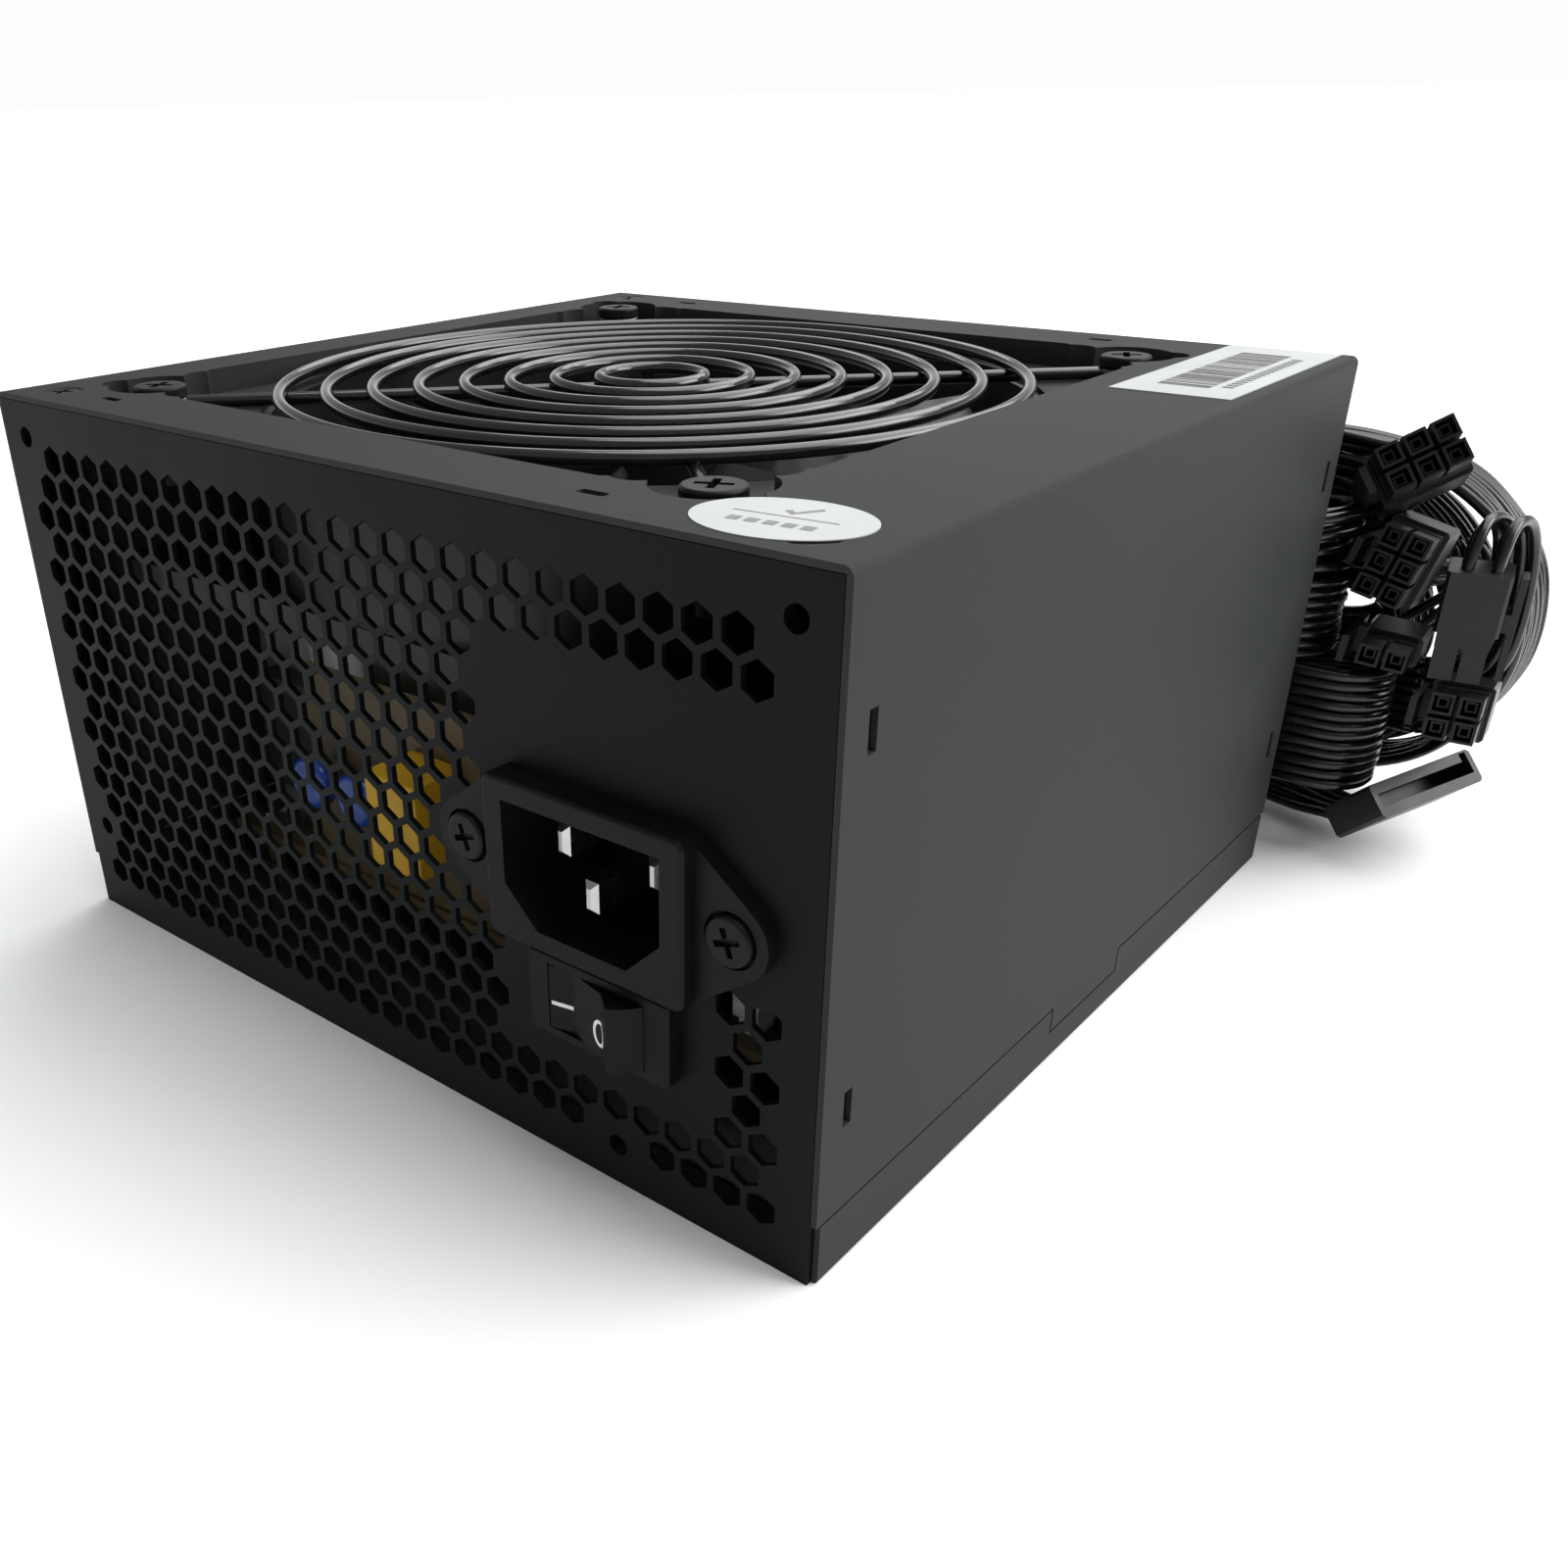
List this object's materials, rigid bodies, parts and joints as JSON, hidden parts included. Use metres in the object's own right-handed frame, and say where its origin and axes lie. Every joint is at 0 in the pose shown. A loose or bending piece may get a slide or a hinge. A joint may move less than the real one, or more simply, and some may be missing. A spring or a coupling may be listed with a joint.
{
  "type": "power supply unit",
  "caption": "Computer power supply: dark sheet-metal box with a guarded fan on top, mains inlet and rocker switch in a honeycomb end, and flat black cables tied behind it.",
  "frame": {"origin": "centre of the case's underside", "axes": "+Z to the fan side, -Y out of the mains side, +X to the right when facing the mains side"},
  "size_m": [0.183, 0.1952, 0.0861],
  "materials": {
    "case_paint": "satin charcoal",
    "bare_steel": "satin",
    "black_screw": "black oxide",
    "guard_wire": "glossy black",
    "fan_plastic": "satin black",
    "inlet_plastic": "black",
    "contact_metal": "bright tin",
    "brass": "plain",
    "copper": "enamelled copper",
    "board": "paper laminate",
    "insulation": "matt",
    "heatsink": "satin",
    "ferrite": "sintered",
    "yellow_tape": "film tape",
    "yellow_case": "moulded",
    "blue_case": "dipped",
    "can_sleeve": "shrink sleeve",
    "component_black": "moulded",
    "fuse_glass": "clear",
    "ring_core": "coated core",
    "cable_sheath": "glossy black",
    "connector_plastic": "moulded black",
    "label_paper": "white coated paper"
  },
  "bodies": {
    "case": {"base_tray": "case_paint", "rear_panel": "case_paint", "front_panel": "case_paint", "top_cover": "case_paint", "cover_screws": "black_screw", "fan_frame": "fan_plastic", "fan_bearing": "brass", "fan_stator": "copper", "fan_guard": "guard_wire", "fan_screws": "black_screw", "inlet_body": "inlet_plastic", "inlet_pins": "contact_metal", "inlet_screws": "black_screw", "switch_body": "inlet_plastic", "switch_tags": "contact_metal", "insulation_sheet": "insulation", "main_board": "board", "board_standoffs": "brass", "board_screws": "bare_steel", "filter_board": "board", "primary_heatsink": "heatsink", "secondary_heatsink": "heatsink", "power_transistors": "component_black", "output_rectifiers": "component_black", "bridge_rectifier": "component_black", "bulk_capacitors": "can_sleeve", "output_capacitors": "can_sleeve", "transformer_core": "ferrite", "transformer_winding": "yellow_tape", "standby_transformer_core": "ferrite", "standby_transformer_winding": "yellow_tape", "filter_choke": "copper", "output_choke": "ring_core", "x_capacitor": "yellow_case", "y_capacitors": "blue_case", "fuse": "fuse_glass", "cable_grommet": "inlet_plastic", "board_wires": "cable_sheath", "main_lead_inner": "cable_sheath", "main_lead_outer": "cable_sheath", "pcie_lead": "cable_sheath", "cpu_lead": "cable_sheath", "drive_lead": "cable_sheath", "main_cable_hank": "cable_sheath", "loop_hank": "cable_sheath", "cable_tie": "connector_plastic", "main_connector": "connector_plastic", "pcie_connector_lower": "connector_plastic", "pcie_side_connector": "connector_plastic", "pcie_connector_upper": "connector_plastic", "cpu_connector": "connector_plastic", "sata_plug_end": "connector_plastic", "sata_plug_middle": "connector_plastic", "drive_plug": "connector_plastic", "qc_label": "label_paper", "barcode_label": "label_paper"},
    "impeller": {"fan_impeller": "fan_plastic", "fan_shaft": "bare_steel"},
    "rocker": {"switch_rocker": "inlet_plastic"}
  },
  "joints": [
    {"name": "fan_spin", "type": "hinge", "parent": "case", "child": "impeller", "pos_m": [-0.0068, 0, 0.07], "axis": [0, 0, 1], "continuous": true},
    {"name": "rocker_tilt", "type": "hinge", "parent": "case", "child": "rocker", "pos_m": [0.0441, -0.068, 0.0264], "axis": [0, 0, 1], "range_deg": [0, 28]}
  ]
}
